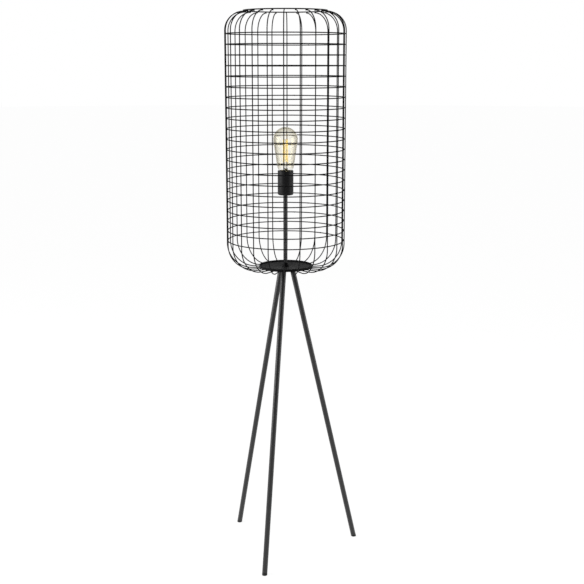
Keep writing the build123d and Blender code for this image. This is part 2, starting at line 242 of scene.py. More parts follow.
def wire_ring(radius, section, height, swell):
    """A ring of round wire with the swelling of its butt weld on the right."""
    bpy.ops.mesh.primitive_torus_add(
        major_segments=144, minor_segments=12, major_radius=radius, minor_radius=section,
        location=about(height), generate_uvs=False)
    made = bpy.context.object
    bpy.ops.object.mode_set(mode="EDIT")
    for offset in (-3 * joint_half, -joint_half, joint_half, 3 * joint_half):
        bpy.ops.mesh.select_all(action="SELECT")
        bpy.ops.mesh.bisect(plane_co=about(height, radius, offset), plane_no=(0, 1, 0))
    bpy.ops.object.mode_set(mode="OBJECT")
    pick(made, lambda place: place.x > 0 and abs(place.y) < 1.1 * joint_half)
    bpy.ops.object.mode_set(mode="EDIT")
    bpy.ops.transform.shrink_fatten(value=swell)
    bpy.ops.object.mode_set(mode="OBJECT")
    return made


ring = wire_ring(ring_radius, wire_radius, 0, joint_swell)
ring_nodes = sorted(name for name in nodes if name.startswith("cage_ring_"))
ring_heights = [(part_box(node)[0].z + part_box(node)[1].z) / 2 for node in ring_nodes]
for number, node in enumerate(ring_nodes):
    welded_ring = copy_of(ring)
    bpy.ops.transform.rotate(
        value=-upright_step * (first_joint + number % joint_places), orient_axis="Z", center_override=stem_axis)
    bpy.ops.transform.translate(value=(0, 0, ring_heights[number]))
    settle(welded_ring, f"ring_wire_{number + 1:02d}", cage_coat, "cage_wire", "lamp", node)
bpy.data.objects.remove(ring)

# Top ring. One ring of heavier wire stiffens the open mouth. It lies on the uprights' turned-in ends and is spot
# welded to each of them.
rim = wire_ring(
    rim_radius, rim_wire_radius - rim_joint_swell, (rim_low.z + rim_high.z) / 2, rim_joint_swell)
bpy.ops.object.select_all(action="DESELECT")
rim.select_set(True)
bpy.ops.transform.rotate(value=-upright_step * (first_joint + 1), orient_axis="Z", center_override=stem_axis)
settle(rim, "top_ring_wire", cage_coat, "cage_wire", "lamp", "cage_top_ring")

# Spot welds. Every crossing of a ring and an upright is resistance welded, which squeezes a small lens of
# metal out between the wires. The coat runs over it.
weld_radius = 0.0018
weld_thick = 0.0011
rim_weld_flat = 0.7
contact_radius = (ring_radius + upright_radius) / 2
bpy.ops.mesh.primitive_uv_sphere_add(
    segments=8, ring_count=5, radius=weld_radius, location=about(0, contact_radius),
    scale=(weld_thick / weld_radius, 1, 1))
weld = bpy.context.object
bpy.ops.object.mode_set(mode="EDIT")
bpy.ops.mesh.spin(
    steps=23, angle=-23 * upright_step, axis=(0, 0, 1), center=stem_axis, dupli=True)
bpy.ops.object.mode_set(mode="OBJECT")
weld_rows = []
for height in ring_heights:
    row = copy_of(weld)
    bpy.ops.transform.translate(value=(0, 0, height))
    weld_rows.append(row)
copy_of(weld)
bpy.ops.transform.resize(
    value=(rim_radius / contact_radius, rim_radius / contact_radius, rim_weld_flat), center_override=stem_axis)
bpy.ops.transform.translate(value=(0, 0, upright_top + wire_radius))
for row in weld_rows:
    row.select_set(True)
bpy.ops.object.join()
settle(bpy.context.object, "cage_welds", cage_coat, "cage_wire", "lamp")
bpy.data.objects.remove(weld)

# Plate welds. Each upright's foot lies under the plate and is held by a short bead along both its sides. The
# beads are coated together with the plate.
bead_length = 0.0075
bead_width = 0.0023
bead_height = 0.0014
bead_middle = plate_radius - weld_overlap / 2 - 0.0003
bpy.ops.mesh.primitive_uv_sphere_add(
    segments=10, ring_count=7, radius=bead_width, location=about(plate_low.z, bead_middle),
    scale=(bead_length / 2 / bead_width, 1, bead_height / bead_width))
bead = bpy.context.object
bpy.ops.object.mode_set(mode="EDIT")
bpy.ops.mesh.spin(
    steps=23, angle=-23 * upright_step, axis=(0, 0, 1), center=stem_axis, dupli=True)
bpy.ops.object.mode_set(mode="OBJECT")
settle(bead, "plate_welds", cage_coat, "black_metal", "lamp")

# Bosses. Short steel bosses at the legs' slant, each with a bead of weld where it meets the plate's underside.
# They are coated with the plate, and the threaded studs that they hold are zinc plated.
leg_top_radius = 0.017
leg_radius = 0.007
boss_weld_radius = 0.0014
boss_weld_flat = 0.9
feet = {mount["name"][5:]: Vector(mount["pos_m"]) for mount in frame["record"]["mounts"]
        if mount["name"].startswith("foot_")}


def leg_line(side):
    """Where a leg's axis leaves the plate, and its direction from there to the floor."""
    out = (feet[side] - stem_axis).normalized()
    top = stem_axis + out * leg_top_radius + Vector((0, 0, plate_low.z))
    return top, (feet[side] - top).normalized()


def paint(node, finish):
    """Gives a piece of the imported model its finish."""
    if not nodes[node].material_slots:
        nodes[node].data.materials.append(finish)
    for held in nodes[node].material_slots:
        held.material = finish


paint("leg_bosses", cage_coat)
boss_welds = []
for side in feet:
    top, down = leg_line(side)
    bpy.ops.mesh.primitive_torus_add(
        major_segments=40, minor_segments=8, major_radius=leg_radius, minor_radius=boss_weld_radius,
        location=top, rotation=(0, 0, math.atan2(down.y, down.x)), generate_uvs=False)
    boss_weld = bpy.context.object
    boss_weld.scale = (1 / -down.z, 1, boss_weld_flat)
    boss_welds.append(boss_weld)
for boss_weld in boss_welds:
    boss_weld.select_set(True)
bpy.ops.object.join()
settle(bpy.context.object, "boss_welds", cage_coat, "black_metal", "lamp")

# Legs. Round steel tubes that screw on to the bosses' studs by a threaded insert in their upper ends. Each is
# open at its lower end for a plug.
leg_wall = 0.0012
tube_edge = 0.0003
boss_length = 0.009
foot_head = 0.006
leg_coat = powder_coat("leg_powder_coat", (0.022, 0.022, 0.0225), 0.36, 0.5, 0.0012)


def plated(name, colour, roughness, scale):
    """Bare or plated metal: a soft cloud in its polish."""
    metal = bpy.data.materials.new(name)
    metal.use_nodes = True
    tree = metal.node_tree
    shader = tree.nodes["Principled BSDF"]
    shader.inputs["Metallic"].default_value = 1
    place = tree.nodes.new("ShaderNodeTexCoord")
    cloud = tree.nodes.new("ShaderNodeTexNoise")
    cloud.inputs["Scale"].default_value = scale
    cloud.inputs["Detail"].default_value = 4
    shades = tree.nodes.new("ShaderNodeValToRGB")
    shades.color_ramp.elements[0].position = 0.3
    shades.color_ramp.elements[0].color = [0.85 * value for value in colour] + [1]
    shades.color_ramp.elements[1].position = 0.75
    shades.color_ramp.elements[1].color = list(colour) + [1]
    gloss = tree.nodes.new("ShaderNodeMapRange")
    gloss.inputs["To Min"].default_value = roughness - 0.08
    gloss.inputs["To Max"].default_value = roughness + 0.12
    tree.links.new(place.outputs["Object"], cloud.inputs["Vector"])
    tree.links.new(cloud.outputs["Fac"], shades.inputs["Fac"])
    tree.links.new(shades.outputs["Color"], shader.inputs["Base Color"])
    tree.links.new(cloud.outputs["Fac"], gloss.inputs["Value"])
    tree.links.new(gloss.outputs["Result"], shader.inputs["Roughness"])
    return metal


zinc = plated("zinc_plate", (0.55, 0.55, 0.57), 0.35, 300)
paint("leg_studs", zinc)
paint("leg_inserts", zinc)
for side in feet:
    top, down = leg_line(side)
    length = (feet[side] - top).length - boss_length - foot_head
    bpy.ops.mesh.primitive_cylinder_add(
        vertices=48, radius=leg_radius, depth=length, end_fill_type="NOTHING",
        location=top + down * (boss_length + length / 2), rotation=down.to_track_quat("-Z", "Y").to_euler())
    leg = bpy.context.object
    wall = leg.modifiers.new("wall", "SOLIDIFY")
    wall.thickness = leg_wall
    wall.offset = -1
    bpy.ops.object.modifier_apply(modifier=wall.name)
    softened = leg.modifiers.new("softened", "BEVEL")
    softened.width = tube_edge
    softened.segments = 2
    softened.limit_method = "ANGLE"
    bpy.ops.object.modifier_apply(modifier=softened.name)
    settle(leg, f"leg_tube_{side}", leg_coat, "black_metal", "lamp", f"leg_{side}")

# Feet. Moulded end plugs of hard black plastic, pushed into the tubes. The head is as wide as the tube and
# is cut level with the floor.
spigot_length = 0.012
fit_gap = 0.00005
spigot_radius = leg_radius - leg_wall - fit_gap
head_rounding = 0.0005
sole_rounding = 0.0006
nearly = 0.00001


def moulded_plastic(name, colour, roughness):
    """Moulded black plastic: a fine spark-eroded grain under a soft sheen."""
    plastic = bpy.data.materials.new(name)
    plastic.use_nodes = True
    tree = plastic.node_tree
    shader = tree.nodes["Principled BSDF"]
    shader.inputs["Specular IOR Level"].default_value = 0.35
    place = tree.nodes.new("ShaderNodeTexCoord")
    grain = tree.nodes.new("ShaderNodeTexVoronoi")
    grain.inputs["Scale"].default_value = 2600
    cloud = tree.nodes.new("ShaderNodeTexNoise")
    cloud.inputs["Scale"].default_value = 90
    shades = tree.nodes.new("ShaderNodeValToRGB")
    shades.color_ramp.elements[0].color = [0.8 * value for value in colour] + [1]
    shades.color_ramp.elements[1].color = [1.25 * value for value in colour] + [1]
    gloss = tree.nodes.new("ShaderNodeMapRange")
    gloss.inputs["To Min"].default_value = roughness - 0.06
    gloss.inputs["To Max"].default_value = roughness + 0.06
    bump = tree.nodes.new("ShaderNodeBump")
    bump.inputs["Strength"].default_value = 0.2
    bump.inputs["Distance"].default_value = 0.00005
    for pattern in (grain, cloud):
        tree.links.new(place.outputs["Object"], pattern.inputs["Vector"])
    tree.links.new(cloud.outputs["Fac"], shades.inputs["Fac"])
    tree.links.new(shades.outputs["Color"], shader.inputs["Base Color"])
    tree.links.new(cloud.outputs["Fac"], gloss.inputs["Value"])
    tree.links.new(gloss.outputs["Result"], shader.inputs["Roughness"])
    tree.links.new(grain.outputs["Distance"], bump.inputs["Height"])
    tree.links.new(bump.outputs["Normal"], shader.inputs["Normal"])
    return plastic


foot_plastic = moulded_plastic("foot_plastic", (0.011, 0.011, 0.011), 0.55)
for side in feet:
    top, down = leg_line(side)
    reach = foot_head + 2 * leg_radius
    bpy.ops.mesh.primitive_cylinder_add(
        vertices=48, radius=leg_radius, depth=reach,
        location=feet[side] - down * (foot_head - reach / 2), rotation=down.to_track_quat("-Z", "Y").to_euler())
    foot = bpy.context.object
    bpy.ops.object.transform_apply(location=True, rotation=True, scale=True)
    bpy.ops.object.mode_set(mode="EDIT")
    bpy.ops.mesh.bisect(plane_co=(0, 0, 0), plane_no=(0, 0, 1), use_fill=True, clear_inner=True)
    bpy.ops.object.mode_set(mode="OBJECT")
    pick(foot, lambda place: place.z < touching)
    bpy.ops.object.mode_set(mode="EDIT")
    bpy.ops.mesh.bevel(offset=sole_rounding, segments=3)
    bpy.ops.object.mode_set(mode="OBJECT")
    pick(foot, lambda place: (place - feet[side]).dot(down) < nearly - foot_head)
    bpy.ops.object.mode_set(mode="EDIT")
    bpy.ops.mesh.inset(thickness=leg_radius - spigot_radius)
    bpy.ops.mesh.extrude_region_move(TRANSFORM_OT_translate={"value": -down * spigot_length})
    bpy.ops.object.mode_set(mode="OBJECT")
    pick(foot, lambda place: abs((place - feet[side]).dot(down) + foot_head) < nearly
         and (place - feet[side]).cross(down).length > leg_radius - nearly)
    bpy.ops.object.mode_set(mode="EDIT")
    bpy.ops.mesh.bevel(offset=head_rounding, segments=2)
    bpy.ops.mesh.select_all(action="SELECT")
    bpy.ops.mesh.normals_make_consistent(inside=False)
    bpy.ops.object.mode_set(mode="OBJECT")
    settle(foot, f"foot_plug_{side}", foot_plastic, "foot_plastic", "lamp", f"foot_{side}")

# Stem. A thin steel tube that stands in the plate and carries the lampholder. It is threaded where the nuts
# hold it and turned down at its upper end, whose shoulder carries the cup.
stem_low, stem_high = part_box("stem_tube")
cup_low, cup_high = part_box("holder_cup")
stem_radius = (stem_high.x - stem_low.x) / 2
stem_bore = 0.0037
stem_tip = 0.0046
stem_thread_pitch = 0.001
stem_thread_depth = 0.0005
stem_thread_wall = 0.0006
thread_above_plate = 0.0085
stem_thread_top = plate_floor + thread_above_plate
thread_start = 0.0004
run_out = 0.0006
stem_edge = 0.0003
metric_wave = [(0, 1), (0.15, 1), (0.45, 0.1), (0.6, 0.1), (0.95, 1)]


def threaded(name, crest, depth, pitch, datum, low, high, wave, wall):
    """A right-hand thread from low to high, its wall outside the drawn skin, or inside it if below zero.

    The wave draws one pitch up from the datum, each corner (share of the pitch, share of the depth).
    """
    start = datum + pitch * (math.floor((low - datum) / pitch) - 1)
    pitches = math.ceil((high - start) / pitch) + 1
    corners = [(start + pitch * (count + along), crest - depth * deep)
               for count in range(pitches) for along, deep in wave]
    bpy.ops.mesh.primitive_plane_add(size=0.001, location=about(*corners[0]))
    made = bpy.context.object
    made.name = name
    bpy.ops.object.mode_set(mode="EDIT")
    bpy.ops.mesh.merge(type="CENTER")
    for corner, last in zip(corners[1:], corners):
        bpy.ops.mesh.extrude_vertices_move(
            TRANSFORM_OT_translate={"value": (corner[1] - last[1], 0, corner[0] - last[0])})
    bpy.ops.object.mode_set(mode="OBJECT")
    bpy.context.scene.cursor.location = stem_axis
    bpy.ops.object.origin_set(type="ORIGIN_CURSOR")
    helix = made.modifiers.new("helix", "SCREW")
    helix.screw_offset = pitch
    helix.steps = 48
    helix.render_steps = 48
    bpy.ops.object.modifier_apply(modifier=helix.name)
    bpy.ops.object.transform_apply(location=True, rotation=True, scale=True)
    bpy.ops.object.mode_set(mode="EDIT")
    bpy.ops.mesh.select_all(action="SELECT")
    bpy.ops.mesh.remove_doubles(threshold=touching)
    bpy.ops.mesh.bisect(plane_co=(0, 0, low), plane_no=(0, 0, 1), clear_inner=True)
    bpy.ops.mesh.select_all(action="SELECT")
    bpy.ops.mesh.bisect(plane_co=(0, 0, high), plane_no=(0, 0, 1), clear_outer=True)
    bpy.ops.mesh.select_all(action="SELECT")
    bpy.ops.mesh.normals_make_consistent(inside=False)
    bpy.ops.object.mode_set(mode="OBJECT")
    thickness = made.modifiers.new("thickness", "SOLIDIFY")
    thickness.thickness = abs(wall)
    thickness.offset = math.copysign(1, wall)
    bpy.ops.object.modifier_apply(modifier=thickness.name)
    return made


stem_root = stem_radius - stem_thread_depth
stem = turned("stem", [
    (stem_root, stem_low.z, stem_edge), (stem_root, stem_thread_top, 0),
    (stem_radius, stem_thread_top + run_out, 0), (stem_radius, cup_low.z, stem_edge), (stem_tip, cup_low.z, 0),
    (stem_tip, stem_high.z, stem_edge), (stem_bore, stem_high.z, stem_edge), (stem_bore, stem_low.z, stem_edge)])
settle(stem, "stem_rod", leg_coat, "black_metal", "lamp", "stem_tube")
stem_thread = threaded(
    "stem_thread", stem_radius, stem_thread_depth, stem_thread_pitch, stem_low.z, stem_low.z + thread_start,
    stem_thread_top, metric_wave, -stem_thread_wall)
settle(stem_thread, "stem_thread", cage_coat, "black_metal", "lamp")

# Washer and nuts. Two thin hexagon nuts clamp the stem to the plate, with a washer under the upper one. The
# nuts' corners are chamfered on both faces.
washer_low, washer_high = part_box("stem_washer")
washer_radius = (washer_high.x - washer_low.x) / 2
washer_edge = 0.0002
washer_top_edge = 0.0004
nut_flats = 0.014
nut_bore = stem_radius + fit_gap
nut_chamfer = math.radians(25)
nut_face_inset = 0.0001
blank_margin = 0.001
washer = turned("washer", [
    (nut_bore, washer_low.z, washer_edge), (washer_radius, washer_low.z, washer_edge),
    (washer_radius, washer_high.z, washer_top_edge), (nut_bore, washer_high.z, washer_edge)])
settle(washer, "plate_washer", cage_coat, "black_metal", "lamp", "stem_washer")


def hexagon_nut(name, node, finish, slot, bore):
    """A hexagon nut in the place of its node, its corners chamfered by a turned blank."""
    low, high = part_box(node)
    corner = nut_flats / 2 / math.cos(math.pi / 6)
    bpy.ops.mesh.primitive_cylinder_add(
        vertices=6, radius=corner, depth=high.z - low.z, location=about((low.z + high.z) / 2),
        rotation=(0, 0, math.pi / 6))
    made = bpy.context.object
    edge = nut_flats / 2 - nut_face_inset
    outside = corner + blank_margin
    drop = (outside - edge) * math.tan(nut_chamfer)
    blank = turned("nut_blank", [
        (bore, low.z, 0), (edge, low.z, 0), (outside, low.z + drop, 0),
        (outside, high.z - drop, 0), (edge, high.z, 0), (bore, high.z, 0)])
    chamfers = made.modifiers.new("chamfers", "BOOLEAN")
    chamfers.operation = "INTERSECT"
    chamfers.object = blank
    bpy.context.view_layer.objects.active = made
    bpy.ops.object.modifier_apply(modifier=chamfers.name)
    bpy.data.objects.remove(blank)
    settle(made, name, finish, slot, "lamp", node)


hexagon_nut("stem_nut_upper", "stem_upper_nut", cage_coat, "black_metal", nut_bore)
hexagon_nut("stem_nut_lower", "stem_lower_nut", cage_coat, "black_metal", nut_bore)

# Outlet bush. A black plastic ring pushed over the stem's lower end, with a rounded mouth that lets a supply
# cord out without chafing.
bush_low, bush_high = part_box("cord_bush")
bush_radius = (bush_high.x - bush_low.x) / 2
outlet_radius = 0.0033
outlet_mouth = 0.0012
bush_head = 0.0018
bush_edge = 0.0006
bush_seat = 0.0003
black_plastic = moulded_plastic("black_phenolic", (0.008, 0.008, 0.008), 0.34)
bush = turned("bush", [
    (outlet_radius, bush_low.z, outlet_mouth), (bush_radius, bush_low.z, bush_head),
    (bush_radius, bush_high.z, bush_edge), (nut_bore, bush_high.z, bush_seat), (nut_bore, stem_low.z, 0),
    (outlet_radius, stem_low.z, bush_seat)])
settle(bush, "outlet_bush", black_plastic, "black_plastic", "lamp", "cord_bush")

# Lampholder cup. A deep cup drawn from thin sheet steel and painted matt black. Its floor is clamped to the
# stem's shoulder by a nut inside.
cup_radius = (cup_high.x - cup_low.x) / 2
cup_wall = 0.001
cup_inside = cup_radius - cup_wall
cup_corner = 0.004
cup_rim = 0.00045
cup_floor = cup_low.z + cup_wall
cup_bore = stem_tip + fit_gap
cup_bore_edge = 0.0002
cup_paint = powder_coat("cup_paint", (0.007, 0.007, 0.0075), 0.45, 0.2, 0.0007)
cup = turned("cup", [
    (cup_bore, cup_low.z, cup_bore_edge), (cup_radius, cup_low.z, cup_corner), (cup_radius, cup_high.z, cup_rim),
    (cup_inside, cup_high.z, cup_rim), (cup_inside, cup_floor, cup_corner - cup_wall),
    (cup_bore, cup_floor, cup_bore_edge)], steps=96)
settle(cup, "lampholder_cup", cup_paint, "holder_metal", "lamp", "holder_cup")
hexagon_nut("cup_nut", "holder_nut", zinc, "zinc_steel", cup_bore)

# Lampholder inside. Two black mouldings stand in the cup. The lower one holds the contacts and the screws for
# the supply, and the upper sleeve insulates the screw shell.
sleeve_low, sleeve_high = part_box("holder_sleeve")
sleeve_radius = (sleeve_high.x - sleeve_low.x) / 2
shell_low, shell_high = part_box("holder_screw_shell")
shell_radius = (shell_high.x - shell_low.x) / 2
sleeve_bore = shell_radius + fit_gap
sleeve_foot = 0.0003
sleeve_shoulder = 0.0012
sleeve_mouth = 0.0008
brass = plated("brass", (0.72, 0.52, 0.25), 0.3, 260)
for node in ("holder_center_contact", "holder_side_contact", "holder_terminal_screws"):
    paint(node, brass)
for node in ("holder_lower_half", "holder_contact_block"):
    paint(node, black_plastic)
sleeve = turned("sleeve", [
    (sleeve_bore, sleeve_low.z, 0), (sleeve_radius, sleeve_low.z, sleeve_foot),
    (sleeve_radius, sleeve_high.z, sleeve_shoulder), (sleeve_bore, sleeve_high.z, sleeve_mouth)], steps=96)
settle(sleeve, "lampholder_sleeve", black_plastic, "black_plastic", "lamp", "holder_sleeve")

# Screw shell. It is rolled from thin brass with the coarse round thread that takes the bulb, and left plain
# round its mouth.
cap_low, cap_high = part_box("bulb_cap")
cap_radius = (cap_high.x - cap_low.x) / 2
bulb_pitch = 0.003629
bulb_thread_depth = 0.0009
round_wave = [(part / 12, 0.5 - 0.5 * math.cos(2 * math.pi * part / 12)) for part in range(12)]
thread_gap = 0.0001
shell_inside = cap_radius + thread_gap
shell_wall = 0.00035
collar_height = 0.005
collar_low = cap_high.z - collar_height
mouth_overlap = 0.0004
mouth_low = collar_low - mouth_overlap
rolled_edge = 0.0001
mouth = turned("shell_mouth", [
    (shell_inside, mouth_low, 0), (shell_inside + shell_wall, mouth_low, 0),
    (shell_inside + shell_wall, shell_high.z, rolled_edge),
    (shell_inside, shell_high.z, rolled_edge)], steps=96)
shell = threaded(
    "shell", shell_inside, bulb_thread_depth, bulb_pitch, cap_low.z, shell_low.z, mouth_low, round_wave, shell_wall)
mouth.select_set(True)
bpy.ops.object.join()
settle(shell, "lampholder_shell", brass, "brass", "lamp", "holder_screw_shell")

# Bulb cap. The brass screw cap is rolled with the same thread, has a plain collar that is cemented to the
# glass, and is turned in below round a black glass insulator, which holds the centre contact.
cap_brass = plated("cap_brass", (0.78, 0.62, 0.34), 0.24, 420)
cap_wall = 0.0003
cap_inside = cap_radius - cap_wall
cap_root = cap_radius - bulb_thread_depth
cap_opening = 0.0105
cap_thread_start = 0.0008
collar_overlap = 0.0002
flange_height = 0.0012
flange_corner = 0.0008
flange_inner_corner = 0.0005
collar = turned("cap_collar", [
    (cap_root - cap_wall, collar_low, 0), (cap_root, collar_low, 0),
    (cap_radius, collar_low + bulb_thread_depth, 0), (cap_radius, cap_high.z, rolled_edge),
    (cap_inside, cap_high.z, rolled_edge), (cap_inside, collar_low + bulb_thread_depth, 0)], steps=96)
flange = turned("cap_flange", [
    (cap_opening, cap_low.z, 0), (cap_root, cap_low.z, flange_corner), (cap_root, cap_low.z + flange_height, 0),
    (cap_root - cap_wall, cap_low.z + flange_height, 0),
    (cap_root - cap_wall, cap_low.z + cap_wall, flange_inner_corner),
    (cap_opening, cap_low.z + cap_wall, 0)], steps=96)
cap = threaded(
    "cap", cap_radius, bulb_thread_depth, bulb_pitch, cap_low.z, cap_low.z + cap_thread_start,
    collar_low + collar_overlap, round_wave, -cap_wall)
collar.select_set(True)
flange.select_set(True)
bpy.ops.object.join()
settle(cap, "bulb_screw_cap", cap_brass, "cap_metal", "bulb", "bulb_cap")
insulator_low, insulator_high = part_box("bulb_insulator")
insulator_radius = (insulator_high.x - insulator_low.x) / 2
insulator_tip = 0.0065
insulator_tip_edge = 0.0006
insulator_edge = 0.0003
insulator = turned("insulator", [
    (0, insulator_low.z, 0), (insulator_tip, insulator_low.z, insulator_tip_edge),
    (insulator_radius, insulator_high.z, insulator_edge), (0, insulator_high.z, 0)])
settle(insulator, "cap_insulator", black_plastic, "black_plastic", "bulb", "bulb_insulator")
pip_low, pip_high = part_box("bulb_contact")
pip_radius = (pip_high.x - pip_low.x) / 2
pip_dome = 0.0009
pip = turned("pip", [
    (0, pip_low.z, 0), (pip_radius, pip_low.z, pip_dome), (pip_radius, pip_high.z, 0), (0, pip_high.z, 0)],
    steps=40)
settle(pip, "cap_contact", brass, "brass", "bulb_lift", "bulb_contact")

# Bulb glass. A blown teardrop envelope with a pale golden lustre that ends above the neck, where the glass
# goes into the cap. Towards its outline the colour is painted darker gold, as painted shade for the slant path
# through the wall.
glass_low, glass_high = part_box("bulb_glass")
crown_radius = (glass_high.x - glass_low.x) / 2
crown_drop = 0.033
taper = math.radians(8.9)
taper_end = 0.103
neck_depth = 0.128
neck_radius = 0.0128
glass_wall = 0.0008
lustre_low = glass_high.z - 0.116
lustre_high = glass_high.z - 0.1


def glass_outline():
    """Corners down the outside of the glass, from the crown to its end in the cap."""
    spots = []
    for step in range(17):
        turn = (math.pi / 2 + taper) * step / 16
        drop = crown_drop if turn < math.pi / 2 else crown_radius
        spots.append((crown_radius * math.sin(turn), crown_drop - drop * math.cos(turn)))
    start_radius, start_depth = spots[-1]
    turn_in = start_radius - (taper_end - start_depth) * math.tan(taper)
    for step in range(1, 9):
        share = step / 8
        spots.append((start_radius + (turn_in - start_radius) * share,
                      start_depth + (taper_end - start_depth) * share))
    neck_run = neck_depth - taper_end
    for step in range(1, 13):
        share = step / 12
        ease = share * share * (3 - 2 * share)
        slide = share * (1 - share) ** 2 * neck_run * math.tan(taper)
        spots.append((turn_in + (neck_radius - turn_in) * ease - slide, taper_end + neck_run * share))
    spots.append((neck_radius, glass_high.z - glass_low.z))
    return [(radius, glass_high.z - depth, 0) for radius, depth in spots]


glass = turned("glass", glass_outline(), steps=96)
blown = glass.modifiers.new("blown", "SOLIDIFY")
blown.thickness = glass_wall
blown.offset = -1
bpy.context.view_layer.objects.active = glass
bpy.ops.object.modifier_apply(modifier=blown.name)
lustre_and_edge_shade_glass = bpy.data.materials.new("lustre_and_edge_shade_glass")
lustre_and_edge_shade_glass.use_nodes = True
tree = lustre_and_edge_shade_glass.node_tree
shader = tree.nodes["Principled BSDF"]
shader.inputs["Roughness"].default_value = 0
shader.inputs["Transmission Weight"].default_value = 1
shader.inputs["IOR"].default_value = 1.45
shader.inputs["Specular Tint"].default_value = (0.8, 0.68, 0.35, 1)
place = tree.nodes.new("ShaderNodeTexCoord")
parts = tree.nodes.new("ShaderNodeSeparateXYZ")
lustre = tree.nodes.new("ShaderNodeMapRange")
lustre.interpolation_type = "SMOOTHSTEP"
lustre.inputs["From Min"].default_value = lustre_low
lustre.inputs["From Max"].default_value = lustre_high
# Painted shade: the glass's colour darkens to deep gold where its surface turns away from the view, towards its
# outline.
edge = tree.nodes.new("ShaderNodeLayerWeight")
edge.inputs["Blend"].default_value = 0.28
painted_edge_shade = tree.nodes.new("ShaderNodeValToRGB")
painted_edge_shade.color_ramp.elements[0].color = (1, 0.99, 0.94, 1)
painted_edge_shade.color_ramp.elements[1].position = 0.75
painted_edge_shade.color_ramp.elements[1].color = (0.2, 0.15, 0.02, 1)
clear = tree.nodes.new("ShaderNodeMix")
clear.data_type = "RGBA"
clear.inputs["A"].default_value = (0.99, 0.99, 0.985, 1)
tree.links.new(place.outputs["Object"], parts.inputs["Vector"])
tree.links.new(parts.outputs["Z"], lustre.inputs["Value"])
tree.links.new(edge.outputs["Facing"], painted_edge_shade.inputs["Fac"])
tree.links.new(lustre.outputs["Result"], clear.inputs["Factor"])
tree.links.new(painted_edge_shade.outputs["Color"], clear.inputs["B"])
tree.links.new(clear.outputs["Result"], shader.inputs["Base Color"])
settle(glass, "bulb_envelope", lustre_and_edge_shade_glass, "amber_glass", "bulb", "bulb_glass")

# Flare and rod. A flared glass tube is sealed to the neck inside the cap and pinched flat at its top round the
# lead-in wires. A thin glass rod stands on the pinch and ends in a button.
flare_low, flare_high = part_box("bulb_mount")
flare_radius = (flare_high.x - flare_low.x) / 2
flare_tube = 0.005
flare_edge = 0.0006
flare_rim_height = 0.0014
flare_throat_height = 0.008
flare_throat_rounding = 0.002
pinch_height = 0.024
pinch_top = flare_low.z + pinch_height
pinch_length = 0.006
pinch_shoulder = 0.001
pinch_seam = 0.0005
pinch_reach = 0.0006
pinch_squeeze = (1.25, 0.45, 1)
rod_radius = 0.0015
button_radius = 1.7 * rod_radius
button_length = 0.004
button_edge = 0.0008
flare = turned("flare", [
    (0, flare_low.z, 0), (flare_radius, flare_low.z, flare_edge),
    (flare_radius - flare_edge, flare_low.z + flare_rim_height, flare_edge),
    (flare_tube, flare_low.z + flare_throat_height, flare_throat_rounding),
    (flare_tube, pinch_top - pinch_length, 0), (flare_tube, pinch_top, pinch_shoulder),
    (rod_radius, pinch_top + pinch_seam, 0), (rod_radius, flare_high.z - button_length, 0),
    (button_radius, flare_high.z - button_length / 2, button_edge), (0, flare_high.z, 0)], steps=32)
pick(flare, lambda place: abs((flare.matrix_world @ place).z - pinch_top + pinch_seam) < pinch_reach)
bpy.ops.object.mode_set(mode="EDIT")
bpy.ops.transform.resize(value=pinch_squeeze, center_override=about(pinch_top))
bpy.ops.object.mode_set(mode="OBJECT")
clear_glass = bpy.data.materials.new("clear_glass")
clear_glass.use_nodes = True
tree = clear_glass.node_tree
shader = tree.nodes["Principled BSDF"]
shader.inputs["Transmission Weight"].default_value = 1
shader.inputs["IOR"].default_value = 1.45
place = tree.nodes.new("ShaderNodeTexCoord")
seed = tree.nodes.new("ShaderNodeTexNoise")
seed.inputs["Scale"].default_value = 500
haze = tree.nodes.new("ShaderNodeMapRange")
haze.inputs["To Min"].default_value = 0.02
haze.inputs["To Max"].default_value = 0.12
tree.links.new(place.outputs["Object"], seed.inputs["Vector"])
tree.links.new(seed.outputs["Fac"], haze.inputs["Value"])
tree.links.new(haze.outputs["Result"], shader.inputs["Roughness"])
settle(flare, "bulb_flare", clear_glass, "clear_glass", "bulb", "bulb_mount")

# Filament. One long coil of fine wire, hung up and down in ten runs round the rod. It is drawn golden, as it
# looks through the lustre.
filament_runs = 10
filament_spread = 0.0065
filament_top = glass_high.z - 0.032
filament_foot = glass_high.z - 0.092
coil_radius = 0.00038
coil_wire = 0.00013
coil_turns = 150
bends = []
for number in range(filament_runs + 1):
    turn = 2 * math.pi * (number + 0.5) / (filament_runs + 1)
    height = filament_top if number % 2 else filament_foot
    bends.append((about(height, filament_spread * math.cos(turn), filament_spread * math.sin(turn)), turn))
run_length = (bends[1][0] - bends[0][0]).length
bpy.ops.mesh.primitive_circle_add(
    vertices=4, radius=coil_wire, location=(coil_radius, 0, coil_wire), rotation=(math.pi / 2, 0, 0))
coil = bpy.context.object
bpy.ops.object.transform_apply(location=True, rotation=True, scale=True)
winding = coil.modifiers.new("winding", "SCREW")
winding.screw_offset = (run_length - 2 * coil_wire) / coil_turns
winding.iterations = coil_turns
winding.steps = 6
winding.render_steps = 6
bpy.ops.object.modifier_apply(modifier=winding.name)
bpy.ops.object.mode_set(mode="EDIT")
bpy.ops.mesh.select_all(action="SELECT")
bpy.ops.mesh.remove_doubles(threshold=1e-7)
bpy.ops.mesh.fill_holes(sides=0)
bpy.ops.mesh.select_all(action="SELECT")
bpy.ops.mesh.normals_make_consistent(inside=False)
bpy.ops.object.mode_set(mode="OBJECT")
strands = []
for (start, _), (finish, _) in zip(bends, bends[1:]):
    strand = copy_of(coil)
    strand.location = start
    strand.rotation_euler = (finish - start).to_track_quat("Z", "Y").to_euler()
    strands.append(strand)
for strand in strands:
    strand.select_set(True)
bpy.ops.object.join()
filament = bpy.context.object
bpy.data.objects.remove(coil)
